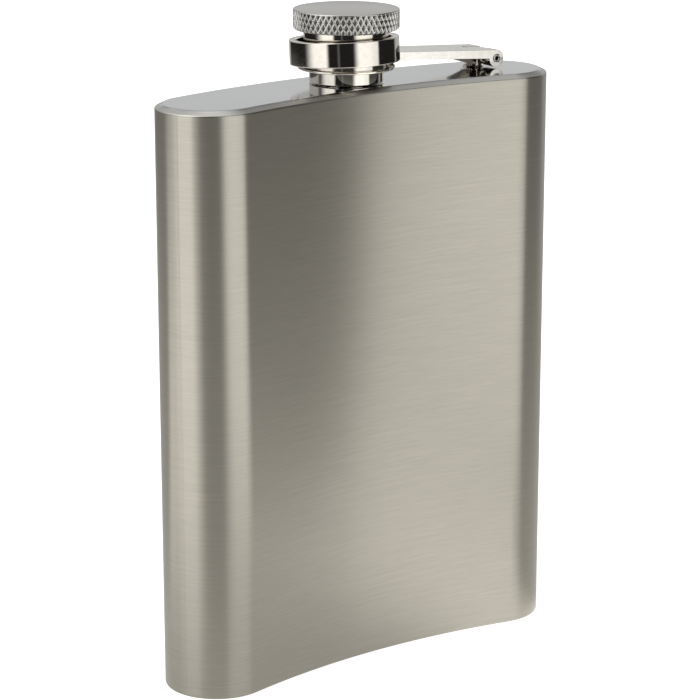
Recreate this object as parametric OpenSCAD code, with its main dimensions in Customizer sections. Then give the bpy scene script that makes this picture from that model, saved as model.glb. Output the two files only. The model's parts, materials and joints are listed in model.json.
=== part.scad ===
/* [Body] */
// Width across the two rounded ends
body_w = 94; // [85:1:110]
// Thickness between the hollow face and the bulged face
body_t = 22; // [20:0.5:26]
// Height of the body from the base to the top plate
body_h = 121.3; // [100:0.1:150]
// How far the middle of the body bows out from its rounded ends
bow = 4; // [3:0.25:6]
// Thickness of the wrapped sheet
sheet_t = 0.5; // [0.4:0.1:0.8]
// Thickness of the top and bottom plates
plate_t = 0.8; // [0.6:0.1:1.2]
// Height lost over the bevel of the top plate
bevel_drop = 0.8; // [0.5:0.1:1.2]
// Width of the bevel of the top plate
bevel_w = 1.6; // [1:0.1:2.2]
// Width of the weld bead that closes the wrapped sheet
seam_w = 0.8; // [0.6:0.1:1.2]
// Angle of the weld from the middle of the rounded end, towards the hollow face
seam_angle = 9; // [-20:1:20]

/* [Neck] */
// Inner diameter of the neck, where a funnel goes in
neck_bore_d = 9.2; // [8:0.2:9.6]
// Outer diameter of the neck at the root of its thread
neck_d = 10.8; // [10.6:0.1:11]
// Height of the neck above the top plate
neck_h = 7.6; // [6:0.1:7.8]

/* [Cap] */
// Diameter over the knurl
head_d = 21.7; // [20.5:0.1:22.3]
// Height of the knurled head
head_h = 4.1; // [3.5:0.1:5]
// Height of the head's underside above the top plate
head_z = 11.05; // [10.8:0.05:11.5]
// Diameter of the waist that the ring runs on
waist_d = 17.5; // [17:0.1:17.8]
// Diameter of the flange that keeps the ring on the waist
flange_d = 20; // [19.8:0.1:20.4]
// Diameter of the skirt below the flange
skirt_d = 15.3; // [14.3:0.1:16]
// Bore of the cap at the root of its thread
cap_bore_d = 12.6; // [12.5:0.1:12.8]

/* [Ring and arm] */
// Outer diameter of the ring
ring_d = 22.6; // [22.4:0.1:23.6]
// Wall of the ring
ring_wall = 1.6; // [1.4:0.05:1.65]
// Height of the ring
ring_h = 5.1; // [3.5:0.1:5.1]
// Angle at which the ring hangs low on its free side
ring_tilt = 0.3; // [0:0.1:1]
// Angle at which the ring leans down towards the bulged face
ring_lean = 3.4; // [0:0.2:3.4]
// Distance from the cap's axis to the middle of the ring, away from the hinge
ring_shift = 0.45; // [0:0.05:0.6]
// Distance from the neck to the hinge pin
hinge_x = 35.7; // [34:0.1:37]
// Height of the hinge pin above the top plate
hinge_z = 2.05; // [2:0.05:2.2]
// Width of the arm
arm_w = 10; // [8:0.5:10]
// Thickness of the arm at its crank
arm_t = 1.6; // [1.4:0.1:1.7]
// Slope of the arm down to the hinge
arm_slope = 4.1; // [3.5:0.05:5]
// Diameter of the rolled hinge pin
pin_d = 1.6; // [1.2:0.1:1.6]

/* [Hidden] */
$fn = 96;
// Distance by which cutting shapes run past the surfaces that they cut
slack = 1;

// Plan of the body: a bent strip with round ends, the same thickness all along
end_r = body_t / 2;
end_x = body_w / 2 - end_r;
mid_r = (end_x * end_x + bow * bow) / (2 * bow);
mid_y = bow / 2;
end_y = -bow / 2;
strip_y = mid_y - mid_r;
sweep = asin(end_x / mid_r);

// Levels where the plates meet the sheet, and the shape of the plates' edges
lip_h = 0.4;
base_break = 0.3;
shell_z0 = base_break + lip_h;
shell_z1 = body_h - bevel_drop - lip_h;
shell_r = end_r - sheet_t;
plate_fillet = 0.3;

// Neck
neck_r = neck_d / 2;
neck_flange_r = neck_r + 1.6;
neck_flange_t = 0.7;
neck_lip = 0.3;

// Cap, with levels above the top plate
skirt_gap = 0.25;
flange_z = 2.9;
flange_t = 0.5;
flange_break = 0.2;
gasket_t = 1.2;
gasket_gap = 0.1;
gasket_slack = 0.15;
gasket_z = neck_h + gasket_gap;
spigot_z = gasket_z + gasket_t;
head_break = 0.45;
top_break = 0.4;

// Ring, held so high that its low edge just clears the flange
ring_r = ring_d / 2;
ring_clear = 0.07;
ring_z = flange_z + flange_t + ring_clear + flange_d / 2 * sin(ring_lean);

// Hinge
knuckle_r = 1.6;
knuckle_w = 3;
knuckle_top = 1.65;
barrel_r = 1.85;
fork_gap = 0.1;
pin_fit = 0.05;
pin_proud = 0.1;
pin_wall = 0.4;
pin_slit = 0.25;
slot_back = 4.4;
stud_r = 1.6;
stud_back = 2.1;
stud_foot_r = 2.1;
stud_foot_h = 0.3;
knuckle_back = stud_back + stud_r;
// The arm's top lies this far below the top of its barrel
barrel_proud = 0.06;
arm_top = barrel_r - barrel_proud;
// The arm is thicker at its barrel and at its root by these amounts
barrel_swell = 0.3;
root_flare = 0.35;
root_len = 2.5;
// Rest that runs back from the knuckle, under the arm
rest_len = 8.3;
rest_tip = 0.3;
rest_gap = 0.1;
rest_top = arm_top - arm_t - barrel_swell - rest_gap;

// Mirror image of a half profile, in reverse order, so that it carries on from the half
function other_side(half) = [for (i = [len(half) - 1 : -1 : 0]) [-half[i][0], half[i][1]]];

// Profile across the strip: one outline where it holds the middle line, else one on each side
module across_strip(half) {
  if (half[0][0] == 0) {
    polygon(concat(half, other_side(half)));
  } else {
    polygon(half);
    polygon(other_side(half));
  }
}

// Wedge that holds the bent stretch of the plan, between the two rounded ends
module bend_wedge() {
  stretch = 1.25;
  translate([0, 0, -slack])
    linear_extrude(body_h + 2 * slack)
      polygon([
        [0, strip_y],
        [stretch * end_x, strip_y + stretch * (end_y - strip_y)],
        [-stretch * end_x, strip_y + stretch * (end_y - strip_y)]
      ]);
}

// Half profile swept round the plan: points are [distance from the strip's middle line, height]
module sweep_plan(half) {
  intersection() {
    translate([0, strip_y, 0])
      rotate_extrude($fn = 720)
        translate([mid_r, 0])
          across_strip(half);
    bend_wedge();
  }
  for (side = [-1, 1])
    difference() {
      translate([side * end_x, end_y, 0])
        rotate_extrude()
          polygon(half);
      bend_wedge();
    }
}

// Wall of the sheet all round the plan
module sheet_wall() {
  sweep_plan([[shell_r, shell_z0], [end_r, shell_z0], [end_r, shell_z1], [shell_r, shell_z1]]);
}

// Upright slab across the sheet, where its two edges meet
module seam_slab() {
  translate([-end_x, end_y, 0])
    rotate(180 + sweep + seam_angle)
      translate([end_r - 2 * sheet_t, -seam_w / 2, 0])
        cube([3 * sheet_t, seam_w, body_h]);
}

// Sheet wrapped once round the flask, up to the two edges that the weld joins
module body_shell() {
  color("silver")
    difference() {
      sheet_wall();
      seam_slab();
    }
}

// Weld bead, ground flush
module seam_weld() {
  color("darkgray")
    intersection() {
      sheet_wall();
      seam_slab();
    }
}

// Pressed cover with a bevelled edge and a lip that butts on the sheet
module top_plate() {
  under = body_h - plate_t;
  color("lightgray")
    difference() {
      sweep_plan([
        [0, under], [shell_r - bevel_w + plate_fillet, under],
        [shell_r, under - bevel_drop + plate_fillet], [shell_r, shell_z1], [end_r, shell_z1],
        [end_r, body_h - bevel_drop], [end_r - bevel_w, body_h], [0, body_h]
      ]);
      translate([0, mid_y, under - slack])
        cylinder(r = neck_r, h = plate_t + 2 * slack);
    }
}

// Flat base with a small break at its edge and a lip that butts on the sheet
module bottom_plate() {
  color("silver")
    sweep_plan([
      [0, 0], [end_r - base_break, 0], [end_r, base_break], [end_r, shell_z0],
      [shell_r, shell_z0], [shell_r, plate_t + plate_fillet], [shell_r - plate_fillet, plate_t],
      [0, plate_t]
    ]);
}

// Outline turned round the neck's axis, with heights above the top plate
module turned(outline) {
  translate([0, mid_y, body_h])
    rotate_extrude()
      polygon(outline);
}

// Spout that passes up through the top plate and is welded by its inner flange
module neck() {
  bore_r = neck_bore_d / 2;
  color("gainsboro")
    turned([
      [bore_r, -plate_t - neck_flange_t], [neck_flange_r, -plate_t - neck_flange_t],
      [neck_flange_r, -plate_t], [neck_r, -plate_t], [neck_r, neck_h - neck_lip],
      [neck_r - neck_lip, neck_h], [bore_r, neck_h]
    ]);
}

// Outline in the plane of the arm's swing, with the pin at its origin, given a width along the pin
module across_pin(width) {
  translate([hinge_x, mid_y + width / 2, body_h + hinge_z])
    rotate([90, 0, 0])
      linear_extrude(width)
        children();
}

// Point given along and square to the arm, in the plane of its swing
function on_arm(x, y) = [
  x * cos(arm_slope) + y * sin(arm_slope),
  y * cos(arm_slope) - x * sin(arm_slope)
];

// Stud with a flat knuckle and a rest for the arm, welded to the top plate
module hinge_post() {
  foot = stud_foot_h - hinge_z;
  color("silver")
    difference() {
      union() {
        translate([hinge_x - stud_back, mid_y, body_h]) {
          cylinder(r = stud_r, h = hinge_z);
          cylinder(r = stud_foot_r, h = stud_foot_h);
        }
        across_pin(knuckle_w)
          circle(r = knuckle_r);
        across_pin(knuckle_w)
          polygon([
            [0, foot], on_arm(0, knuckle_top), on_arm(-knuckle_back, knuckle_top),
            on_arm(-knuckle_back, rest_top), on_arm(-rest_len, rest_top),
            on_arm(-rest_len, rest_top - rest_tip), [-knuckle_back, foot]
          ]);
      }
      across_pin(knuckle_w + 2 * slack)
        circle(d = pin_d + 2 * pin_fit);
    }
}

// Rolled spring pin with its slit turned to the top
module hinge_pin() {
  color("gray")
    across_pin(arm_w + 2 * pin_proud)
      difference() {
        circle(d = pin_d);
        circle(r = pin_d / 2 - pin_wall);
        translate([-pin_slit / 2, 0])
          square([pin_slit, pin_d]);
      }
}

// Cylinder on the ring's own axis, as the ring hangs
module on_ring_axis(radius, length) {
  translate([-ring_shift, mid_y, body_h + ring_z + ring_h / 2])
    rotate([-ring_lean, -ring_tilt, 0])
      cylinder(r = radius, h = length, center = true);
}

// Cranked strip with a forked barrel round the pin
module swing_arm() {
  reach = hinge_x + ring_shift - ring_r + ring_wall;
  under = arm_top - arm_t;
  color("gainsboro")
    difference() {
      union() {
        across_pin(arm_w)
          circle(r = barrel_r);
        across_pin(arm_w)
          polygon([
            on_arm(0, arm_top), on_arm(-reach, arm_top), on_arm(-reach, under - root_flare),
            on_arm(root_len - reach, under - root_flare), on_arm(2 * root_len - reach, under),
            on_arm(0, under - barrel_swell)
          ]);
      }
      on_ring_axis(ring_r, ring_h + 4 * slack);
      across_pin(knuckle_w + 2 * fork_gap)
        translate([-slot_back, -2 * barrel_r])
          square([slot_back + 2 * barrel_r, 4 * barrel_r]);
      across_pin(arm_w + 2 * slack)
        circle(d = pin_d);
    }
}

// Band that holds the cap by its waist, brazed to the arm
module cap_ring() {
  color("gainsboro")
    difference() {
      on_ring_axis(ring_r, ring_h);
      on_ring_axis(ring_r - ring_wall, ring_h + 2 * slack);
    }
}

// Sleeve of the cap: skirt and flange below, waist above, with the thread's bore right through
module cap_sleeve() {
  bore_r = cap_bore_d / 2;
  skirt_r = skirt_d / 2;
  flange_r = flange_d / 2;
  waist_r = waist_d / 2;
  flange_top = flange_z + flange_t;
  color("silver")
    turned([
      [bore_r, skirt_gap], [skirt_r, skirt_gap], [skirt_r, flange_z],
      [flange_r - flange_break, flange_z], [flange_r, flange_z + flange_break],
      [flange_r, flange_top - flange_break], [flange_r - flange_break, flange_top],
      [waist_r, flange_top], [waist_r, head_z], [bore_r, head_z]
    ]);
}

// Head with a spigot pressed into the sleeve
module cap_head() {
  head_r = head_d / 2;
  head_top = head_z + head_h;
  color("lightgray")
    turned([
      [0, spigot_z], [cap_bore_d / 2, spigot_z], [cap_bore_d / 2, head_z],
      [head_r - head_break, head_z], [head_r, head_z + head_break],
      [head_r, head_top - top_break], [head_r - top_break, head_top], [0, head_top]
    ]);
}

// Soft disc that seals on the rim of the neck
module cap_gasket() {
  color("white")
    translate([0, mid_y, body_h + gasket_z])
      cylinder(r = cap_bore_d / 2 - gasket_slack, h = gasket_t);
}

body_shell();
seam_weld();
top_plate();
bottom_plate();
neck();
hinge_post();
hinge_pin();
swing_arm();
cap_ring();
cap_sleeve();
cap_head();
cap_gasket();
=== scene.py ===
import json
import math

import bmesh
import bpy
from bpy.props import FloatProperty, FloatVectorProperty, IntProperty, PointerProperty
from mathutils import Matrix, Vector


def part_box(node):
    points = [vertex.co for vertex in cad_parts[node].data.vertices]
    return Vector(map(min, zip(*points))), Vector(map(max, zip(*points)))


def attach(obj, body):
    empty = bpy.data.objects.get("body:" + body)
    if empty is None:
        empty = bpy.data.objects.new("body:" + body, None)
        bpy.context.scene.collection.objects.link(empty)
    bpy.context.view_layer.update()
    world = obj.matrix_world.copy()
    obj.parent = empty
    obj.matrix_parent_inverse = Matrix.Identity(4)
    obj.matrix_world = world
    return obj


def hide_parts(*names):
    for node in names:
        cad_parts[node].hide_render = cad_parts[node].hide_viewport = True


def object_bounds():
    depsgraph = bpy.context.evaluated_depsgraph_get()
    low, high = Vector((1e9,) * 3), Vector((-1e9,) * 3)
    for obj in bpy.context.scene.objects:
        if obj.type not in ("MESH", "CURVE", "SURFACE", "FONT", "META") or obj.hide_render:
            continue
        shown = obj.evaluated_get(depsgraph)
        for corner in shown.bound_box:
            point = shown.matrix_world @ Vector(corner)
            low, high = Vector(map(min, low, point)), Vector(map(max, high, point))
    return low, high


bl_info = {
    "name": "Hip Flask",
    "version": (1, 0, 0),
    "blender": (4, 5, 0),
    "location": "View3D > Sidebar > Hip Flask",
    "description": "Builds the visible pieces and finishes of a pocket flask with a captive screw cap",
    "category": "Add Mesh",
}

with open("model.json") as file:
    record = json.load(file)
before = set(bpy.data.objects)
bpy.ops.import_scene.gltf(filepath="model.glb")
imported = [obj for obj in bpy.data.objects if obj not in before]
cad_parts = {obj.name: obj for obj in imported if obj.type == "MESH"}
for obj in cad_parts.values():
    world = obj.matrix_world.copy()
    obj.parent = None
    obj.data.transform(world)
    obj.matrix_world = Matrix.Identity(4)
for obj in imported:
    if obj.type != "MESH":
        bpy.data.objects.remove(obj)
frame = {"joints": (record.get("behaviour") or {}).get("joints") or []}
CAD_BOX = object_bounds()

# Lengths below are in millimetres, and points are turned into metres as a mesh is made.
MM = 0.001
# A relief is cut only where a profile lies this close to the surface that carries it.
TOUCH = 0.01
SHARP_EDGE = 32


def box_mm(node):
    """Lowest and highest corner of a CAD node, in millimetres to a tenth."""
    return [Vector([round(value / MM, 1) for value in corner]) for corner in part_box(node)]


# Levels and plan of the body, from the frame
SHELL_LOW, SHELL_HIGH = box_mm("body_shell")
PLATE_LOW, PLATE_HIGH = box_mm("top_plate")
NECK_LOW, NECK_HIGH = box_mm("neck")
PLATE_TOP = PLATE_HIGH.z
AXIS = Vector(((NECK_LOW.x + NECK_HIGH.x) / 2, (NECK_LOW.y + NECK_HIGH.y) / 2, PLATE_TOP))
BOW = 2 * AXIS.y
END_R = (PLATE_HIGH.y - PLATE_LOW.y - BOW) / 2
END_X = PLATE_HIGH.x - END_R
END_Y = -BOW / 2
MID_R = (END_X**2 + BOW**2) / (2 * BOW)
BEND_Y = AXIS.y - MID_R
SWEEP = math.asin(END_X / MID_R)

# Hinge, from the joint that swings the arm
PIN = Vector(next(j for j in frame["joints"] if j["name"] == "arm_swing")["pos_m"]) / MM
ARM_LOW, ARM_HIGH = box_mm("swing_arm")
SLEEVE_LOW, SLEEVE_HIGH = box_mm("cap_sleeve")
HEAD_LOW, HEAD_HIGH = box_mm("cap_head")
GASKET_LOW, GASKET_HIGH = box_mm("cap_gasket")
PIN_LOW, PIN_HIGH = box_mm("hinge_pin")


# ---------------------------------------------------------------- settings


class BodySettings(bpy.types.PropertyGroup):
    """Sheet metal of the body."""

    sheet: FloatProperty(name="Sheet", description="Thickness of the wrapped sheet", default=0.5)
    plate: FloatProperty(name="Plates", description="Thickness of the top and base", default=0.8)
    bevel_drop: FloatProperty(name="Bevel drop", description="Height of the top's bevel", default=0.8)
    bevel_width: FloatProperty(name="Bevel width", description="Width of the top's bevel", default=1.6)
    bevel_round: FloatProperty(name="Bevel rounding", description="Radius of its edges", default=0.35)
    base_break: FloatProperty(name="Base break", description="Rounding of the base's edge", default=0.3)
    seam_width: FloatProperty(name="Seam width", description="Width of the side weld", default=0.8)
    seam_angle: FloatProperty(name="Seam angle", description="Where the weld lies on the end", default=9)
    seam_crown: FloatProperty(name="Seam crown", description="How far the weld is proud", default=0.02)
    colour: FloatVectorProperty(
        name="Sheet colour", description="Colour of the brushed sheet", subtype="COLOR",
        default=(0.432, 0.413, 0.358),
    )
    plate_colour: FloatVectorProperty(
        name="Plate colour", description="Colour of the satin top", subtype="COLOR",
        default=(0.625, 0.632, 0.640),
    )


class CapSettings(bpy.types.PropertyGroup):
    """Cap, neck and their threads."""

    knurl_count: IntProperty(name="Knurl count", description="Diamonds round the head", default=57)
    knurl_rows: FloatProperty(name="Knurl rows", description="Diamonds over the height", default=1.55)
    knurl_depth: FloatProperty(name="Knurl depth", description="Depth of a diamond pit", default=0.4)
    thread_pitch: FloatProperty(name="Thread pitch", description="Rise of a thread turn", default=2.0)
    thread_depth: FloatProperty(name="Thread depth", description="Height of a thread", default=0.38)
    waist_d: FloatProperty(name="Waist", description="Diameter inside the ring", default=17.5)
    skirt_d: FloatProperty(name="Skirt", description="Diameter below the flange", default=15.3)
    bore_d: FloatProperty(name="Cap bore", description="Bore at the root of its thread", default=12.6)
    flange_z: FloatProperty(name="Flange level", description="Height over the top plate", default=2.9)
    flange_t: FloatProperty(name="Flange", description="Thickness of the flange", default=0.5)
    neck_d: FloatProperty(name="Neck", description="Diameter at its thread's root", default=10.8)
    neck_bore_d: FloatProperty(name="Neck bore", description="Bore for a funnel", default=9.2)
    plating: FloatVectorProperty(
        name="Plating colour", description="Colour of the bright plating", subtype="COLOR",
        default=(0.800, 0.755, 0.680),
    )
    arm_colour: FloatVectorProperty(
        name="Arm colour", description="Colour of the polished arm", subtype="COLOR",
        default=(0.990, 0.945, 0.870),
    )
    # Painted shade: the stud's colour is dark for the shadow that falls under the arm.
    stud_shade_colour: FloatVectorProperty(
        name="Stud colour", description="Colour of the shadowed hinge stud", subtype="COLOR",
        default=(0.330, 0.290, 0.240),
    )
    head_colour: FloatVectorProperty(
        name="Head colour", description="Colour of the satin head", subtype="COLOR",
        default=(0.640, 0.630, 0.600),
    )
    seal_colour: FloatVectorProperty(
        name="Seal colour", description="Colour of the sealing disc", subtype="COLOR",
        default=(0.800, 0.790, 0.740),
    )


class HingeSettings(bpy.types.PropertyGroup):
    """Ring, arm and hinge."""

    ring_height: FloatProperty(name="Ring height", description="Height of the ring", default=5.1)
    ring_wall: FloatProperty(name="Ring wall", description="Wall of the ring", default=1.6)
    ring_tilt: FloatProperty(name="Ring tilt", description="Degrees that its free side hangs", default=0.3)
    ring_lean: FloatProperty(name="Ring lean", description="Degrees down to the bulged face", default=3.4)
    ring_round: FloatProperty(name="Ring rounding", description="Radius of its edges", default=0.22)
    arm_thickness: FloatProperty(name="Arm", description="Thickness of the arm", default=1.6)
    arm_slope: FloatProperty(name="Arm slope", description="Degrees down to the hinge", default=4.1)
    arm_swell: FloatProperty(name="Arm swell", description="Extra thickness at the barrel", default=0.3)
    arm_taper: FloatProperty(name="Arm taper", description="Degrees on each side", default=1.2)
    barrel_r: FloatProperty(name="Barrel", description="Radius of the arm's barrel", default=1.85)
    barrel_proud: FloatProperty(name="Barrel rise", description="Height over the arm's top", default=0.06)
    knuckle_r: FloatProperty(name="Knuckle", description="Radius of the post's eye", default=1.6)
    knuckle_width: FloatProperty(name="Knuckle width", description="Width in the fork", default=3)
    fork_gap: FloatProperty(name="Fork gap", description="Gap at each side of the eye", default=0.1)
    pin_d: FloatProperty(name="Pin", description="Diameter of the rolled pin", default=1.6)
    pin_colour: FloatVectorProperty(
        name="Pin colour", description="Colour of the rolled pin", subtype="COLOR",
        default=(0.520, 0.510, 0.490),
    )


class StageSettings(bpy.types.PropertyGroup):
    """Camera, light and floor."""

    azimuth: FloatProperty(name="Azimuth", description="Degrees round from the front", default=-36.41)
    elevation: FloatProperty(name="Elevation", description="Degrees above level", default=15.37)
    distance: FloatProperty(name="Distance", description="Camera to aim, in mm", default=552)
    lens: FloatProperty(name="Lens", description="Focal length on a 36 mm sensor", default=136.24)
    aim: FloatVectorProperty(
        name="Aim", description="Aim from the middle of the object, in mm", default=(-2.8, -3.31, -2.4)
    )
    panel: FloatProperty(name="Panels", description="Brightness of the light panels", default=1.22)
    floor_colour: FloatVectorProperty(
        name="Floor colour", description="Colour of the pale floor", subtype="COLOR",
        default=(0.86, 0.86, 0.86),
    )


SETTINGS = {"body": BodySettings, "cap": CapSettings, "hinge": HingeSettings, "stage": StageSettings}


def setting(group):
    return getattr(bpy.context.scene, "flask_" + group)


# ---------------------------------------------------------------- outlines


def rounded(corners, steps=4, closed=True):
    """Outline through (x, y, radius) corners, with an arc in place of each corner that has a radius."""
    path = []
    last = len(corners) - 1
    for i, (x, y, radius) in enumerate(corners):
        here = Vector((x, y))
        if radius == 0 or (not closed and i in (0, last)):
            path.append(here)
            continue
        back = (Vector(corners[i - 1][:2]) - here).normalized()
        ahead = (Vector(corners[(i + 1) % len(corners)][:2]) - here).normalized()
        half = back.angle(ahead) / 2
        centre = here + (back + ahead).normalized() * radius / math.sin(half)
        start = here + back * radius / math.tan(half) - centre
        end = here + ahead * radius / math.tan(half) - centre
        turn = math.atan2(start.x * end.y - start.y * end.x, start.dot(end))
        for step in range(steps + 1):
            path.append(centre + Matrix.Rotation(turn * step / steps, 2) @ start)
    return path


def arc(centre, radius, start, end, steps):
    """Points on an arc, with angles in degrees."""
    angles = [math.radians(start + (end - start) * i / steps) for i in range(steps + 1)]
    return [Vector(centre) + radius * Vector((math.cos(a), math.sin(a))) for a in angles]


def plan_stations(first, last, bend_steps=72, end_steps=96):
    """(middle point, outward normal) pairs round the body's plan, anticlockwise from above.

    The path starts and ends on the left end, at two angles given from its own middle. With
    angles a full turn apart it closes on itself.
    """
    tilt = math.degrees(SWEEP)
    stations = []

    def end_piece(side, start, stop):
        count = max(1, round(end_steps * abs(stop - start) / 180))
        for normal in arc((0, 0), 1, start, stop, count):
            stations.append((Vector((side * END_X, END_Y)), normal))

    def bend_piece(side):
        for i in range(1, bend_steps):
            turn = SWEEP * (1 - 2 * i / bend_steps) * side
            normal = Vector((math.sin(turn), math.cos(turn)))
            stations.append((Vector((0, BEND_Y)) + MID_R * normal, side * normal))

    end_piece(-1, first, 270 + tilt)
    bend_piece(-1)
    end_piece(1, -90 - tilt, 90 - tilt)
    bend_piece(1)
    end_piece(-1, 90 + tilt, last)
    return stations


# ---------------------------------------------------------------- meshes


def as_object(name, points, faces):
    """Mesh object from points in millimetres."""
    mesh = bpy.data.meshes.new(name)
    mesh.from_pydata([Vector(p) * MM for p in points], [], faces)
    build = bmesh.new()
    build.from_mesh(mesh)
    bmesh.ops.remove_doubles(build, verts=build.verts, dist=1e-4 * MM)
    bmesh.ops.recalc_face_normals(build, faces=build.faces)
    build.to_mesh(mesh)
    build.free()
    made = bpy.data.objects.new(name, mesh)
    bpy.context.scene.collection.objects.link(made)
    return made


def loops_to_faces(rings, closed_rings, closed_stack):
    """Quads between neighbouring rings that all have the same number of points."""
    count = len(rings[0])
    faces = []
    for i in range(len(rings) if closed_stack else len(rings) - 1):
        below, above = i * count, (i + 1) % len(rings) * count
        for j in range(count if closed_rings else count - 1):
            k = (j + 1) % count
            faces.append((below + j, below + k, above + k, above + j))
    return faces


def swept(name, stations, profile, closed):
    """Closed profile of (offset, height) points swept round plan stations."""
    rings = [
        [(*(middle + offset * normal), height) for middle, normal in stations]
        for offset, height in profile
    ]
    faces = loops_to_faces(rings, closed, True)
    if not closed:
        count = len(stations)
        faces.append([i * count for i in range(len(rings))])
        faces.append([(i + 1) * count - 1 for i in range(len(rings))])
    return as_object(name, [p for ring in rings for p in ring], faces)


def turned(name, profile, centre, segments=160, relief=None, lean=Matrix.Identity(3)):
    """Profile of (radius, height) points turned round an upright axis through a centre.

    It is closed unless it starts on the axis. relief(angle, radius, height) is added to the
    radius, and lean turns the result about the centre.
    """
    angles = [2 * math.pi * i / segments for i in range(segments)]
    rings = []
    for radius, height in profile:
        ring = []
        for angle in angles:
            reach = radius + (relief(angle, radius, height) if relief else 0)
            point = Vector((reach * math.cos(angle), reach * math.sin(angle), height))
            ring.append(Vector(centre) + lean @ point)
        rings.append(ring)
    closed = profile[0][0] > 0
    faces = loops_to_faces(rings, True, closed)
    return as_object(name, [p for ring in rings for p in ring], faces)


def across_pin(name, outline, width, rotate=0):
    """Outline in the plane of the arm's swing, from the pin's centre, given a width along the pin."""
    turn = Matrix.Rotation(math.radians(rotate), 2)
    flat = [turn @ Vector(p) for p in outline]
    count = len(flat)
    points = [(PIN.x + p.x, PIN.y + side * width / 2, PIN.z + p.y) for side in (-1, 1) for p in flat]
    faces = [list(range(count)), list(range(count, 2 * count))]
    faces += [(i, (i + 1) % count, count + (i + 1) % count, count + i) for i in range(count)]
    return as_object(name, points, faces)


def settle(made):
    """Turns an object's modifiers into its own mesh."""
    bpy.context.view_layer.update()
    shown = made.evaluated_get(bpy.context.evaluated_depsgraph_get())
    mesh = bpy.data.meshes.new_from_object(shown)
    made.modifiers.clear()
    made.data = mesh


def combine(made, tools, operation):
    """Joins tools to an object or cuts them from it, and removes the tools."""
    for tool in tools:
        modifier = made.modifiers.new("shape", "BOOLEAN")
        modifier.operation = operation
        modifier.object = tool
    settle(made)
    for tool in tools:
        bpy.data.objects.remove(tool)


def soften(made, width, segments=3, angle=35):
    """Small rounding on every edge sharper than an angle."""
    modifier = made.modifiers.new("edges", "BEVEL")
    modifier.width = width * MM
    modifier.segments = segments
    modifier.limit_method = "ANGLE"
    modifier.angle_limit = math.radians(angle)
    settle(made)


def put(made, body, nodes, slot, *materials):
    """Shades a piece, gives it its finish and hangs it on its body of the frame."""
    made.data.shade_smooth()
    made.data.set_sharp_from_angle(angle=math.radians(SHARP_EDGE))
    weigh = made.modifiers.new("normals", "WEIGHTED_NORMAL")
    weigh.keep_sharp = True
    for material in materials:
        made.data.materials.append(material)
    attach(made, body)
    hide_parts(*nodes)
    return made


# ---------------------------------------------------------------- shaders


class Wire:
    """A node socket that takes part in Python arithmetic by adding Math nodes to its tree."""

    def __init__(self, tree, socket=None):
        self.tree = tree
        self.socket = socket

    def node(self, kind, settings=None, inputs=None, output=0):
        """Adds a node, with its settings first and then the values or wires of its sockets."""
        made = self.tree.nodes.new(kind)
        for name, value in (settings or {}).items():
            if name == "stops":
                ramp_stops(made.color_ramp, value)
            else:
                setattr(made, name, value)
        for name, value in (inputs or {}).items():
            socket = pick_socket(made.inputs, name)
            if isinstance(value, Wire):
                self.tree.links.new(value.socket, socket)
            else:
                socket.default_value = value
        return Wire(self.tree, pick_socket(made.outputs, output) if made.outputs else None)

    def math(self, operation, *others):
        """This wire, and any others after it, through a Math node."""
        return self.node("ShaderNodeMath", {"operation": operation}, dict(enumerate((self, *others))))

    def __add__(self, other):
        return self.math("ADD", other)

    __radd__ = __add__

    def __mul__(self, other):
        return self.math("MULTIPLY", other)

    __rmul__ = __mul__

    def __sub__(self, other):
        return self.math("SUBTRACT", other)

    def __rsub__(self, other):
        return self.node("ShaderNodeMath", {"operation": "SUBTRACT"}, {0: other, 1: self})

    def __truediv__(self, other):
        return self.math("DIVIDE", other)

    def rise(self, low, high):
        """Smooth step from 0 at low to 1 at high."""
        return self.node(
            "ShaderNodeMapRange",
            {"interpolation_type": "SMOOTHSTEP"},
            {"Value": self, "From Min": low, "From Max": high},
        )

    def fall(self, low, high):
        """Smooth step from 1 at low to 0 at high."""
        return 1 - self.rise(low, high)

    def between(self, low, high, soft):
        """1 between low and high, with soft edges."""
        return self.rise(low - soft, low + soft) * self.fall(high - soft, high + soft)

    def blend(self, first, second):
        """Colour mix from first to second, with this wire as the factor."""
        return self.node(
            "ShaderNodeMix",
            {"data_type": "RGBA"},
            {"Factor": self, "A": opaque(first), "B": opaque(second)},
            "Result",
        )

    def scaled(self, x, y, z):
        """This vector with each of its parts multiplied."""
        return self.node("ShaderNodeVectorMath", {"operation": "MULTIPLY"}, {0: self, 1: (x, y, z)})

    def noise(self, detail=2.0, rough=0.5):
        """Noise read at this vector, with cells one unit across."""
        inputs = {"Vector": self, "Scale": 1.0, "Detail": detail, "Roughness": rough}
        return self.node("ShaderNodeTexNoise", None, inputs)

    def parts(self):
        """The X, Y and Z of this vector."""
        split = self.node("ShaderNodeSeparateXYZ", None, {0: self})
        outputs = split.socket.node.outputs
        return [Wire(self.tree, socket) for socket in outputs]


def pick_socket(sockets, name):
    if isinstance(name, int):
        return sockets[name]
    return next(s for s in sockets if s.name == name and s.enabled)


def opaque(colour):
    return colour if isinstance(colour, Wire) else (*colour, 1.0)


def ramp_stops(ramp, stops):
    while len(ramp.elements) < len(stops):
        ramp.elements.new(1.0)
    for element, (place, colour) in zip(ramp.elements, stops):
        element.position = place
        element.color = opaque(colour)


def shade(colour, share):
    """A colour made lighter or darker by a share."""
    return tuple(min(1.0, part * share) for part in colour)


def new_material(name):
    """Empty node material and the wire that its nodes are made from."""
    material = bpy.data.materials.new(name)
    material.use_nodes = True
    material.node_tree.nodes.clear()
    return material, Wire(material.node_tree)


def surface(graph, constants, **varying):
    """Principled surface with its constants set on its own sockets, wired to the output."""
    inputs = {**constants, **{name.replace("_", " "): value for name, value in varying.items()}}
    shader = graph.node("ShaderNodeBsdfPrincipled", None, inputs)
    graph.node("ShaderNodeOutputMaterial", None, {"Surface": shader})


def place(graph):
    """Point on the piece, in metres in the shared frame."""
    return graph.node("ShaderNodeTexCoord", None, None, "Object")


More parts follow.
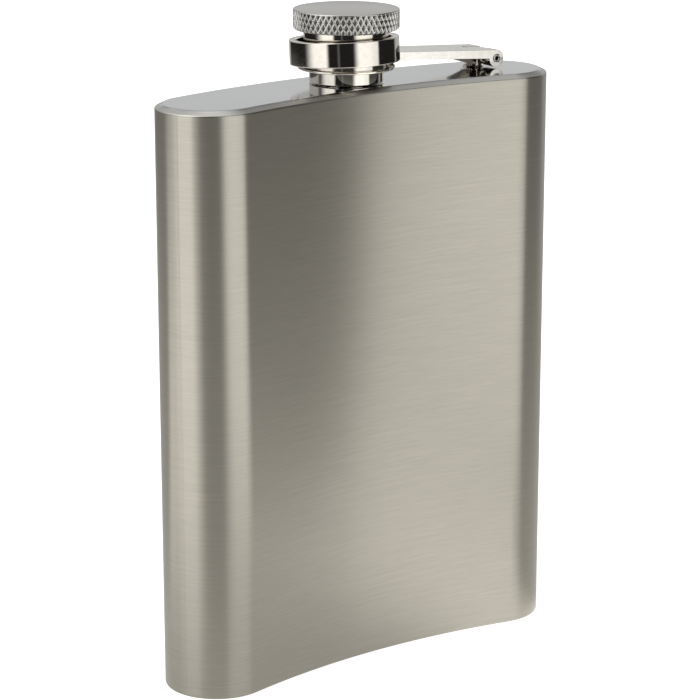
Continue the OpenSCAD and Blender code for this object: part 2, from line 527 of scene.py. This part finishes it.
def bumped(graph, height, strength, distance):
    """Normal disturbed by a height, with the distance in millimetres."""
    inputs = {"Strength": strength, "Distance": distance * MM, "Height": height}
    return graph.node("ShaderNodeBump", None, inputs, "Normal")


def brushed_finish(name, colour):
    """Sheet steel with fine level brushing, long streaks and a few stray scratches."""
    material, graph = new_material(name)
    point = place(graph)
    grain = point.scaled(260, 260, 6500).noise(3.0, 0.6)
    streak = point.scaled(75, 75, 2400).noise(2.0, 0.5)
    cloud = point.scaled(38, 38, 30).noise(2.0, 0.5)
    scratch_slant = math.radians(2.2)
    slant = point.node(
        "ShaderNodeVectorRotate", {"rotation_type": "Y_AXIS"}, {"Vector": point, "Angle": scratch_slant}
    )
    scratch = slant.scaled(60, 60, 3600).noise(1.0, 0.4).rise(0.68, 0.76)
    tone = grain * 0.6 + streak * 0.4
    lit = tone.rise(0.25, 0.75).blend(shade(colour, 0.92), shade(colour, 1.07))
    worn = (scratch * 0.3).blend(lit, shade(colour, 1.2))
    rough = 0.27 + grain * 0.05 + cloud * 0.04
    surface(
        graph,
        {"Metallic": 1.0, "Anisotropic": 0.95, "Anisotropic Rotation": 0.25},
        Base_Color=worn,
        Roughness=rough,
        Normal=bumped(graph, grain + streak * 0.4 + scratch * 0.6, 0.16, 0.008),
    )
    return material


def satin_plate_finish(name, colour):
    """Smooth satin steel of the top, with a faint blasted grain and a duller bevel, painted in a warmer,
    darker tone as painted light.
    """
    material, graph = new_material(name)
    point = place(graph)
    grain = point.scaled(2600, 2600, 2600).noise(2.0, 0.5)
    smudge = point.scaled(60, 60, 60).noise(3.0, 0.55)
    bevel = point.parts()[2].fall((PLATE_TOP - 0.35) * MM, (PLATE_TOP - 0.02) * MM)
    # Painted light: the bevel is painted a warmer, darker tone for the dimmer, warmer light it reflects at
    # its slope.
    bevel_light_tone = (0.62, 0.60, 0.55)
    tone = (grain * 0.5 + smudge * 0.5).rise(0.3, 0.7).blend(shade(colour, 0.95), shade(colour, 1.05))
    edge = (bevel * 0.8).blend(tone, bevel_light_tone)
    surface(
        graph,
        {"Metallic": 1.0},
        Base_Color=edge,
        Roughness=0.06 + smudge * 0.03 + grain * 0.02 + bevel * 0.2,
        Normal=bumped(graph, grain, 0.06, 0.01),
    )
    return material


def plated_finish(name, colour, brightened=None):
    """Bright plating with slow ripples from polishing and hairline wear.

    The last argument, when given, is a height in the frame and the brighter colour that the plating has
    above it: painted light, as on the stud, whose lit top stands out of its painted shade.
    """
    material, graph = new_material(name)
    point = place(graph)
    ripple = point.scaled(420, 420, 300).noise(1.0, 0.4)
    haze = point.scaled(900, 900, 900).noise(3.0, 0.6)
    hairline = point.scaled(500, 500, 9000).noise(2.0, 0.5).rise(0.62, 0.72)
    tone = haze.rise(0.3, 0.7).blend(shade(colour, 0.96), shade(colour, 1.04))
    # Painted light: above the given level the colour turns to the brighter one, for a top that is lit.
    if brightened:
        level, bright = brightened
        tone = point.parts()[2].rise((level - 0.1) * MM, level * MM).blend(tone, bright)
    surface(
        graph,
        {"Metallic": 1.0},
        Base_Color=(hairline * 0.35).blend(tone, shade(colour, 0.85)),
        Roughness=0.035 + haze * 0.05 + hairline * 0.08,
        Normal=bumped(graph, ripple + haze * 0.05, 0.35, 0.02),
    )
    return material


def head_finish(name, colour, depth):
    """Satin steel of the head: turning marks on top, with painted shade darkening the pits of the knurl.
    """
    material, graph = new_material(name)
    point = place(graph)
    x, y, z = point.parts()
    across, along = x - AXIS.x * MM, y - AXIS.y * MM
    radius = (across * across + along * along).math("SQRT")
    turning = radius.node("ShaderNodeCombineXYZ", None, {0: radius * 9000.0, 1: z * 300.0})
    rings = turning.noise(2.0, 0.6)
    grain = point.scaled(2200, 2200, 2200).noise(2.0, 0.5)
    rim = HEAD_HIGH.x * MM
    # Painted shade: the knurl's pits are painted dark for the shade that falls in them.
    sunk = radius.fall(rim - depth * MM, rim - 0.1 * depth * MM)
    pit = sunk * z.fall((HEAD_HIGH.z - 0.35) * MM, (HEAD_HIGH.z - 0.1) * MM)
    tone = (rings * 0.5 + grain * 0.5).rise(0.3, 0.7).blend(shade(colour, 0.93), shade(colour, 1.06))
    surface(
        graph,
        {"Metallic": 1.0},
        Base_Color=(pit * 0.85).blend(tone, shade(colour, 0.22)),
        Roughness=0.2 + grain * 0.08 + pit * 0.12,
        Normal=bumped(graph, rings * 0.6 + grain * 0.4, 0.15, 0.01),
    )
    return material


def pin_finish(name, colour):
    """Plain rolled spring steel, dull in its slit and worn bright on its ends."""
    material, graph = new_material(name)
    point = place(graph)
    grain = point.scaled(5200, 260, 5200).noise(2.0, 0.6)
    speck = point.scaled(3000, 3000, 3000).noise(2.0, 0.5)
    from_middle = (point.parts()[1] - PIN.y * MM).math("ABSOLUTE")
    brightened = from_middle.rise(4.3 * MM, 4.6 * MM)
    tone = (grain * 0.6 + speck * 0.4).rise(0.3, 0.7).blend(shade(colour, 0.75), shade(colour, 1.1))
    surface(
        graph,
        {"Metallic": 1.0},
        Base_Color=(brightened * 0.5).blend(tone, shade(colour, 1.3)),
        Roughness=0.24 + grain * 0.14,
        Normal=bumped(graph, grain, 0.2, 0.01),
    )
    return material


def seal_finish(name, colour):
    """Moulded silicone, soft to the light, with fine dust in its roughness and bump."""
    material, graph = new_material(name)
    point = place(graph)
    mottle = point.scaled(700, 700, 700).noise(3.0, 0.6)
    dust = point.scaled(2500, 2500, 2500).noise(2.0, 0.5)
    tone = mottle.rise(0.3, 0.7).blend(shade(colour, 0.92), shade(colour, 1.05))
    surface(
        graph,
        {"IOR": 1.41, "Subsurface Weight": 0.1},
        Base_Color=tone,
        Roughness=0.42 + dust * 0.15,
        Normal=bumped(graph, dust, 0.2, 0.01),
    )
    return material


# ---------------------------------------------------------------- pieces


def thread_crest(cap, angle, height, start, stop, shift=0.0):
    """Height of one thread that fades in and out between two levels."""
    if not start < height < stop:
        return 0.0
    phase = (height / cap.thread_pitch - angle / (2 * math.pi) + shift) % 1.0
    crest = max(0.0, min(1.0, 2.4 - 7 * abs(phase - 0.5)))
    fade = min(1.0, (height - start) / 0.9, (stop - height) / 0.9)
    return cap.thread_depth * crest * fade


class FLASK_OT_sheet(bpy.types.Operator):
    """Wrap the body's sheet round its plan and close it with a ground weld"""

    bl_idname = "hip_flask.sheet"
    bl_label = "Wrapped sheet"

    def execute(self, context):
        body = setting("body")
        low, high = SHELL_LOW.z, SHELL_HIGH.z
        finish = brushed_finish("brushed_sheet", body.colour)
        middle = 180 + math.degrees(SWEEP) + body.seam_angle
        reach = math.degrees(body.seam_width / 2 / END_R)
        inner = END_R - body.sheet
        wall = [(inner, low), (END_R, low), (END_R, high), (inner, high)]
        sheet = swept("wrapped_sheet", plan_stations(middle + reach, middle - reach), wall, False)
        put(sheet, "flask", ["body_shell"], "brushed_sheet", finish)

        steps = 12
        groove_depth, groove_at, groove_width = 0.02, 0.86, 0.1
        rings = []
        for i in range(steps + 1):
            share = 2 * i / steps - 1
            normal = arc((0, 0), 1, middle + share * reach, middle + share * reach, 1)[0]
            groove = groove_depth * math.exp(-(((abs(share) - groove_at) / groove_width) ** 2))
            outer = END_R + body.seam_crown * (1 - share**2) - groove
            point = Vector((-END_X, END_Y))
            section = [(inner, low), (outer, low), (outer, high), (inner, high)]
            rings.append([(*(point + r * normal), z) for r, z in section])
        faces = loops_to_faces(rings, True, False)
        faces += [[0, 1, 2, 3], [steps * 4 + i for i in range(4)]]
        weld = as_object("side_weld", [p for ring in rings for p in ring], faces)
        put(weld, "flask", ["seam_weld"], "brushed_sheet", finish)
        return {"FINISHED"}


class FLASK_OT_plates(bpy.types.Operator):
    """Press the bevelled top and the flat base"""

    bl_idname = "hip_flask.plates"
    bl_label = "Top and base"

    def execute(self, context):
        body = setting("body")
        satin = satin_plate_finish("satin_plate", body.plate_colour)
        brushed = brushed_finish("brushed_edge", body.colour)
        inner = END_R - body.sheet
        field = END_R - 3.5
        under = PLATE_TOP - body.plate
        shoulder = PLATE_TOP - body.bevel_drop
        path = rounded([
            (field, under, 0), (inner - body.bevel_width + 0.3, under, 0.3),
            (inner, under - body.bevel_drop + 0.3, 0.1), (inner, SHELL_HIGH.z, 0),
            (END_R, SHELL_HIGH.z, 0), (END_R, shoulder, body.bevel_round),
            (END_R - body.bevel_width, PLATE_TOP, 1.6 * body.bevel_round),
            (field, PLATE_TOP, 0),
        ], steps=5, closed=False)
        stations = plan_stations(180, 180 - 1e-6)
        rings = [[(*(m + d * n), z) for m, n in stations] for d, z in path]
        hole = setting("cap").neck_d / 2
        for level, spot in ((PLATE_TOP, len(rings)), (under, 0)):
            edge = rings[-1] if spot else rings[0]
            circle = []
            for p in edge:
                out = (Vector(p[:2]) - AXIS.xy).normalized() * hole
                circle.append((AXIS.x + out.x, AXIS.y + out.y, level))
            rings.insert(spot, circle)
        top = as_object("top_cover", [p for r in rings for p in r], loops_to_faces(rings, True, True))
        put(top, "flask", ["top_plate"], "satin_plate", satin, brushed)
        upright = 0.2
        for face in top.data.polygons:
            face.material_index = int(abs(face.normal.z) < upright)

        inside = body.plate
        path = rounded([
            (0, 0, 0), (END_R, 0, body.base_break), (END_R, SHELL_LOW.z, 0), (inner, SHELL_LOW.z, 0),
            (inner, inside, 0.3), (0, inside, 0),
        ], steps=5, closed=False)
        base = swept("base_cover", stations, path, True)
        put(base, "flask", ["bottom_plate"], "brushed_sheet", brushed)
        return {"FINISHED"}


class FLASK_OT_neck(bpy.types.Operator):
    """Turn the threaded neck"""

    bl_idname = "hip_flask.neck"
    bl_label = "Neck"

    def execute(self, context):
        cap = setting("cap")
        root, bore = cap.neck_d / 2, cap.neck_bore_d / 2
        low, top = NECK_LOW.z - PLATE_TOP, NECK_HIGH.z - PLATE_TOP
        under = -setting("body").plate
        start, stop = 1.2, top - 0.6

        def ridge(angle, radius, height):
            """Thread that stands out from the neck."""
            if abs(radius - root) > TOUCH:
                return 0.0
            return thread_crest(cap, angle, height, start, stop)

        levels = [start + (stop - start) * i / 60 for i in range(61)]
        collar = root + 1.6
        profile = rounded([
            (bore, low, 0.1), (collar, low, 0.15), (collar, under, 0), (root, under, 0), (root, 0, 0),
        ], closed=False)
        profile += [(root, z) for z in levels]
        mouth = [(root, stop, 0), (root, top, 0.3), (bore, top, 0.15), (bore, low, 0)]
        profile += rounded(mouth, closed=False)[1:-1]
        neck = turned("filler_neck", profile, AXIS, 144, ridge)
        put(neck, "flask", ["neck"], "bright_plating", plated_finish("neck_plating", cap.plating))
        return {"FINISHED"}


class FLASK_OT_hinge(bpy.types.Operator):
    """Make the hinge's stud and its rolled pin"""

    bl_idname = "hip_flask.hinge"
    bl_label = "Stud and pin"

    def execute(self, context):
        hinge = setting("hinge")
        rise = PIN.z - PLATE_TOP
        stud_back, stud_r, foot_r, foot_h, knuckle_top = 2.1, 1.6, 2.1, 0.3, 1.74
        weld_wave = 0.04
        back = stud_back + stud_r
        at_stud = Vector((PIN.x - stud_back, PIN.y, PLATE_TOP))
        foot = [
            Vector((stud_r + (foot_r - stud_r) * (1 - math.sin(t)), foot_h * 1.6 * (1 - math.cos(t))))
            for t in [math.pi / 2 * i / 6 for i in range(7)]
        ]
        stud = turned(
            "hinge_stud", [(0, 0), *foot, (stud_r, rise), (0, rise)], at_stud, 64,
            lambda angle, radius, height: weld_wave * math.sin(9 * angle) * (radius > stud_r + 0.1),
        )
        lower = 0.45 - rise
        rest_len, rest_tip, rest_gap = 8.3, 0.3, 0.1
        arm_under = hinge.barrel_r - hinge.barrel_proud - hinge.arm_thickness - hinge.arm_swell
        rest_top = arm_under - rest_gap
        eye = arc((0, 0), hinge.knuckle_r, -70, 88, 28)
        strap = rounded([
            (0.2, lower, 0), (0.2, knuckle_top, 0), (-back, knuckle_top, 0.1), (-back, rest_top, 0.25),
            (-rest_len, rest_top, 0.12), (-rest_len, rest_top - rest_tip, 0.12), (-back, lower, 0.8),
        ])
        knuckle = across_pin("knuckle", strap, hinge.knuckle_width, -hinge.arm_slope)
        eye_disc = across_pin("eye", [(0, 0), *eye], hinge.knuckle_width)
        combine(stud, [knuckle, eye_disc], "UNION")
        drill = across_pin("drill", arc((0, 0), hinge.pin_d / 2 + 0.05, 0, 360, 40)[:-1], 12)
        combine(stud, [drill], "DIFFERENCE")
        soften(stud, 0.08)
        cap = setting("cap")
        # The stud is painted dark as shade under the arm, and its top, up in the light beside the arm, is
        # painted in the arm's bright colour.
        lit_top_level = PIN.z + 1.5
        finish = plated_finish("stud_plating", cap.stud_shade_colour, (lit_top_level, cap.arm_colour))
        put(stud, "flask", ["hinge_post"], "bright_plating", finish)

        pin_r, wall = hinge.pin_d / 2, 0.38
        slit = 35
        outside = arc((0, 0), pin_r, slit, slit + 342, 40)
        inside = arc((0.02, 0.0), pin_r - wall, slit + 336, slit, 32)
        pin = across_pin("rolled_pin", outside + inside, PIN_HIGH.y - PIN_LOW.y)
        soften(pin, 0.07, 2)
        put(pin, "arm", ["hinge_pin"], "pin_steel", pin_finish("pin_steel", hinge.pin_colour))
        return {"FINISHED"}


def ring_centre():
    low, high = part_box("cap_ring")
    return (Vector(low) + Vector(high)) / 2 / MM


def ring_lean():
    """Turn that hangs the ring on its own axis."""
    hinge = setting("hinge")
    tilt = Matrix.Rotation(math.radians(-hinge.ring_tilt), 3, "Y")
    return tilt @ Matrix.Rotation(math.radians(-hinge.ring_lean), 3, "X")


class FLASK_OT_arm(bpy.types.Operator):
    """Make the cap's ring and the arm that swings it"""

    bl_idname = "hip_flask.arm"
    bl_label = "Ring and arm"

    def execute(self, context):
        hinge = setting("hinge")
        finish = plated_finish("bright_plating", setting("cap").plating)
        low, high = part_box("cap_ring")
        # The ring's tilt makes its box a trifle wider, and the rounding takes that off.
        ring_r = round((high[0] - low[0]) / 2 / MM, 1)
        half, wall, corner = hinge.ring_height / 2, hinge.ring_wall, hinge.ring_round
        profile = rounded([
            (ring_r - wall, -half, corner), (ring_r, -half, corner),
            (ring_r, half, corner), (ring_r - wall, half, corner),
        ], steps=5)
        ring = turned("captive_ring", profile, ring_centre(), 192, None, ring_lean())
        put(ring, "arm", ["cap_ring"], "bright_plating", finish)

        barrel, slope = hinge.barrel_r, hinge.arm_slope
        flare, root = 0.35, 2.5
        top = barrel - hinge.barrel_proud
        reach = PIN.x - ring_centre().x - ring_r + wall
        under = top - hinge.arm_thickness
        join = under - hinge.arm_swell * (1 - barrel / (reach - 2 * root))
        run = math.degrees(math.acos(top / barrel))
        dip = math.degrees(math.asin(join / barrel))
        outline = arc((0, 0), barrel, 90 + run, -180 - dip, 64)
        outline += rounded([
            (-barrel, join, 0), (2 * root - reach, under, 4.0), (root - reach, under - flare, 1.2),
            (-reach, under - flare, 0), (-reach, top, 0),
        ], closed=False, steps=6)[1:]
        width = ARM_HIGH.y - ARM_LOW.y
        arm = across_pin("swing_strap", outline, width, -slope)
        for vertex in arm.data.vertices:
            away = max(0, PIN.x - vertex.co.x / MM)
            side = math.copysign(1, vertex.co.y / MM - PIN.y)
            vertex.co.y -= side * away * math.tan(math.radians(hinge.arm_taper)) * MM
        cut_r, cut_half = ring_r - 0.02, half + 2
        cut = [(0, -cut_half), (cut_r, -cut_half), (cut_r, cut_half), (0, cut_half)]
        ring_cut = turned("ring_cut", cut, ring_centre(), 192, None, ring_lean())
        slot_back, slot_half = 4.4, hinge.knuckle_width / 2 + hinge.fork_gap
        slot = across_pin(
            "slot", [(-slot_back, -4), (4, -4), (4, 4), (-slot_back, 4)], 2 * slot_half
        )
        drill = across_pin("drill", arc((0, 0), hinge.pin_d / 2, 0, 360, 40)[:-1], width + 4)
        combine(arm, [ring_cut, slot], "DIFFERENCE")
        soften(arm, 0.2)
        sinks = []
        for side in (-1, 1):
            sink = across_pin("sink", arc((0, 0), hinge.pin_d / 2 + 0.17, 0, 360, 40)[:-1], 0.7)
            sink.data.transform(Matrix.Translation((0, side * width / 2 * MM, 0)))
            sinks.append(sink)
        combine(arm, [drill, *sinks], "DIFFERENCE")
        polished = plated_finish("arm_plating", setting("cap").arm_colour)
        put(arm, "arm", ["swing_arm"], "bright_plating", polished)
        return {"FINISHED"}


class FLASK_OT_cap(bpy.types.Operator):
    """Turn the cap's sleeve and its knurled head"""

    bl_idname = "hip_flask.cap"
    bl_label = "Cap"

    def execute(self, context):
        cap = setting("cap")
        bore, skirt, waist = cap.bore_d / 2, cap.skirt_d / 2, cap.waist_d / 2
        flange = (SLEEVE_HIGH.x - SLEEVE_LOW.x) / 2
        low, top = 0.25, SLEEVE_HIGH.z - PLATE_TOP
        under, over = cap.flange_z, cap.flange_z + cap.flange_t
        start, stop = 1.0, NECK_HIGH.z - PLATE_TOP - 0.8

        def thread(angle, radius, height):
            """Thread that stands into the bore, half a pitch from the neck's."""
            if abs(radius - bore) > TOUCH:
                return 0.0
            return -thread_crest(cap, angle, height, start, stop, 0.5)

        levels = [stop + (start - stop) * i / 60 for i in range(61)]
        profile = rounded([
            (bore, start, 0), (bore, low, 0.12), (skirt, low, 0.15), (skirt, under, 0.12),
            (flange, under, 0.22), (flange, over, 0.12), (waist, over, 0.1), (waist, top, 0.0),
            (bore, top, 0),
        ], closed=False, steps=4)
        profile = profile[1:] + [Vector((bore, z)) for z in levels]
        sleeve = turned("cap_body", profile, AXIS, 176, thread)
        finish = plated_finish("sleeve_plating", cap.plating)
        put(sleeve, "cap", ["cap_sleeve"], "bright_plating", finish)

        head = (HEAD_HIGH.x - HEAD_LOW.x) / 2
        crown = HEAD_HIGH.z - PLATE_TOP
        spigot = HEAD_LOW.z - PLATE_TOP
        foot, lip = top + 0.3, crown - 0.26

        def knurl(angle, radius, height):
            """Raised crossing ridges with diamond pits between them."""
            if abs(radius - head) > TOUCH or not foot <= height <= lip:
                return 0.0
            round_way = cap.knurl_count * angle / (2 * math.pi)
            up_way = cap.knurl_rows * (height - foot) / (lip - foot)
            left = abs((round_way + up_way) % 1.0 - 0.5) * 2
            right = abs((round_way - up_way) % 1.0 - 0.5) * 2
            pit = min(1.0, max(0.0, 1.8 * min(1 - left, 1 - right) - 0.3))
            return -cap.knurl_depth * pit

        levels = [foot + (lip - foot) * i / 40 for i in range(41)]
        profile = [Vector((0, spigot)), Vector((bore - 0.3, spigot)), Vector((bore, spigot + 0.3))]
        profile += rounded([(bore, top, 0), (head - 0.3, top, 0.1), (head, foot, 0)], closed=False)
        profile += [Vector((head, z)) for z in levels[1:]]
        edge = [(head, lip, 0), (head, crown, 0.24), (0, crown, 0)]
        profile += rounded(edge, closed=False, steps=8)[1:]
        knurled = turned("knurled_head", profile, AXIS, 14 * cap.knurl_count, knurl)
        finish = head_finish("satin_head", cap.head_colour, cap.knurl_depth)
        put(knurled, "cap", ["cap_head"], "satin_head", finish)
        return {"FINISHED"}


class FLASK_OT_seal(bpy.types.Operator):
    """Mould the disc that seals the cap on the neck's rim"""

    bl_idname = "hip_flask.seal"
    bl_label = "Sealing disc"

    def execute(self, context):
        radius = (GASKET_HIGH.x - GASKET_LOW.x) / 2
        low, high = GASKET_LOW.z - PLATE_TOP, GASKET_HIGH.z - PLATE_TOP
        profile = rounded([
            (0, low + 0.15, 0), (4.2, low + 0.15, 0.15), (4.5, low, 0.15), (5.5, low, 0.15),
            (5.7, low + 0.15, 0.1), (radius, low + 0.15, 0.2), (radius, high, 0.2), (0, high, 0),
        ], closed=False)
        seal = turned("sealing_disc", profile, AXIS, 96)
        finish = seal_finish("seal_rubber", setting("cap").seal_colour)
        put(seal, "cap", ["cap_gasket"], "seal_rubber", finish)
        return {"FINISHED"}


# ---------------------------------------------------------------- stage


def right_panel(round_way):
    """Right light panel, 1 within its bearings in degrees and a little dimmer towards +X."""
    dimming = 1 - round_way.rise(10, 38) * 0.18
    return round_way.rise(-19, -4) * round_way.fall(35.5, 41.5) * dimming


def bearing(x, y):
    """Degrees round from the front, towards +X."""
    return x.math("ARCTAN2", y * -1.0) * (180 / math.pi)


def light_room(panel):
    """Soft studio round the object: two tall panels, a backdrop behind and light from above."""
    world = bpy.data.worlds.new("studio")
    bpy.context.scene.world = world
    world.use_nodes = True
    world.node_tree.nodes.clear()
    graph = Wire(world.node_tree)
    x, y, z = graph.node("ShaderNodeTexCoord", None, None, "Generated").parts()
    round_way = bearing(x, y)
    up_way = z.math("ARCSINE") * (180 / math.pi)
    left_panel = round_way.rise(-128, -98) * round_way.fall(-76, -67)
    panels = (right_panel(round_way) + left_panel) * up_way.between(-75, 28, 10)
    gap_light = round_way.between(-50, -46, 2) * up_way.between(-30, 30, 10)
    backdrop_way = round_way.between(100, 165, 8)
    backdrop = backdrop_way * up_way.rise(-1, 5) * (1 - up_way.rise(10, 32) * 0.6)
    ceiling = up_way.rise(44, 66)
    high_left = round_way.between(-150, -64, 6) * up_way.between(28, 75, 8)
    high_back = (1 - round_way.between(-162, 165, 6)) * up_way.between(30, 62, 8)
    beside = (1 - round_way.between(-130, 84, 8) - backdrop_way).math("MAXIMUM", 0.0)
    fill = beside * up_way.rise(-1, 6) * up_way.fall(38, 60)
    low_back = round_way.between(94, 172, 6) * up_way.between(-50, -4, 4)
    room_level, backdrop_seen = 0.015, 0.97
    glow = panels * panel + gap_light * 0.1 + backdrop * 0.62 + ceiling * 0.8
    glow += high_left * 1.3 + high_back * 0.3 + fill * 0.45 + low_back * 0.5 + room_level
    seen = graph.node("ShaderNodeLightPath", None, None, "Is Camera Ray")
    strength = glow * (1 - seen) + seen * backdrop_seen
    background = graph.node("ShaderNodeBackground", None, {"Color": (1, 1, 1, 1), "Strength": strength})
    graph.node("ShaderNodeOutputWorld", None, {"Surface": background})


def lay_table():
    """Lit table top, seen only in the object's reflections, that fades out away from it.

    Its tone follows the light panels far from the object, and the side it lies on close by.
    """
    table_r, sunk = 850, 0.05
    dim_far, lit_far = (0.60, 0.59, 0.57), (1.75, 1.73, 1.70)
    dim_near, lit_near = (0.78, 0.77, 0.75), (1.42, 1.40, 1.37)
    material, graph = new_material("table_glow")
    x, y = place(graph).parts()[:2]
    round_way = bearing(x, y)
    left = round_way.between(-134, -64, 8)
    reach = (x * x + y * y).math("SQRT")
    far = (right_panel(round_way) + left).blend(dim_far, lit_far)
    near = (x.rise(0.0, 35 * MM) * x.fall(42 * MM, 55 * MM)).blend(dim_near, lit_near)
    tone = reach.rise(50 * MM, 220 * MM).blend(near, far)
    lit = graph.node("ShaderNodeBsdfPrincipled", None, {
        "Base Color": (0, 0, 0, 1), "Specular IOR Level": 0.0,
        "Emission Strength": 1.0, "Emission Color": tone,
    })
    clear = graph.node("ShaderNodeBsdfTransparent")
    fade = reach.rise(420 * MM, 800 * MM)
    mixed = graph.node("ShaderNodeMixShader", None, {0: fade, 1: lit, 2: clear})
    graph.node("ShaderNodeOutputMaterial", None, {"Surface": mixed})
    edge = arc((0, 0), table_r, 0, 360, 64)[:-1]
    table = as_object("table", [(p.x, p.y, -sunk) for p in edge], [tuple(range(len(edge)))])
    table.data.materials.append(material)
    table.visible_camera = False
    table.visible_diffuse = False
    table.visible_shadow = False


def lay_floor(colour):
    """Wide pale floor."""
    material, graph = new_material("pale_floor")
    fleck = place(graph).scaled(30, 30, 30).noise(2.0, 0.5)
    surface(
        graph,
        {"Emission Color": (1, 1, 1, 1), "Emission Strength": 0.8},
        Base_Color=fleck.blend(shade(colour, 0.99), colour),
        Roughness=0.7 + fleck * 0.1,
    )
    half = 6000
    corners = [(-half, -half, 0), (half, -half, 0), (half, half, 0), (-half, half, 0)]
    floor = as_object("floor", corners, [(0, 1, 2, 3)])
    floor.data.materials.append(material)
    floor.visible_glossy = False


def set_camera(stage):
    low, high = CAD_BOX
    azimuth, elevation = math.radians(stage.azimuth), math.radians(stage.elevation)
    back = Vector((
        math.sin(azimuth) * math.cos(elevation),
        -math.cos(azimuth) * math.cos(elevation),
        math.sin(elevation),
    ))
    camera = bpy.data.objects.new("camera", bpy.data.cameras.new("camera"))
    camera.location = (low + high) / 2 + (Vector(stage.aim) + back * stage.distance) * MM
    camera.rotation_euler = back.to_track_quat("Z", "Y").to_euler()
    camera.data.lens = stage.lens
    camera.data.clip_start = 0.02
    bpy.context.scene.collection.objects.link(camera)
    bpy.context.scene.camera = camera


class FLASK_OT_stage(bpy.types.Operator):
    """Set the camera, the light and the floor"""

    bl_idname = "hip_flask.stage"
    bl_label = "Stage"

    def execute(self, context):
        stage = setting("stage")
        set_camera(stage)
        light_room(stage.panel)
        lay_table()
        lay_floor(stage.floor_colour)
        context.scene.view_settings.view_transform = "Standard"
        return {"FINISHED"}


# ---------------------------------------------------------------- add-on


STEPS = [
    FLASK_OT_stage, FLASK_OT_sheet, FLASK_OT_plates, FLASK_OT_neck,
    FLASK_OT_hinge, FLASK_OT_arm, FLASK_OT_cap, FLASK_OT_seal,
]


class FLASK_PT_panel(bpy.types.Panel):
    """Sidebar panel that lists the pieces and their settings"""

    bl_idname = "FLASK_PT_panel"
    bl_label = "Hip Flask"
    bl_space_type = "VIEW_3D"
    bl_region_type = "UI"
    bl_category = "Hip Flask"

    def draw(self, context):
        for step in STEPS:
            self.layout.operator(step.bl_idname)
        for group, kind in SETTINGS.items():
            box = self.layout.box()
            box.label(text=group.capitalize())
            for name in kind.__annotations__:
                box.prop(setting(group), name)


CLASSES = [*SETTINGS.values(), *STEPS, FLASK_PT_panel]


def register():
    for kind in CLASSES:
        bpy.utils.register_class(kind)
    for group, kind in SETTINGS.items():
        setattr(bpy.types.Scene, "flask_" + group, PointerProperty(type=kind))


def unregister():
    for group in SETTINGS:
        delattr(bpy.types.Scene, "flask_" + group)
    for kind in reversed(CLASSES):
        bpy.utils.unregister_class(kind)


def main():
    register()
    for step in STEPS:
        category, name = step.bl_idname.split(".")
        result = getattr(getattr(bpy.ops, category), name)()
        if result != {"FINISHED"}:
            raise RuntimeError(f"{step.bl_label} was not made")


if __name__ == "__main__":
    main()
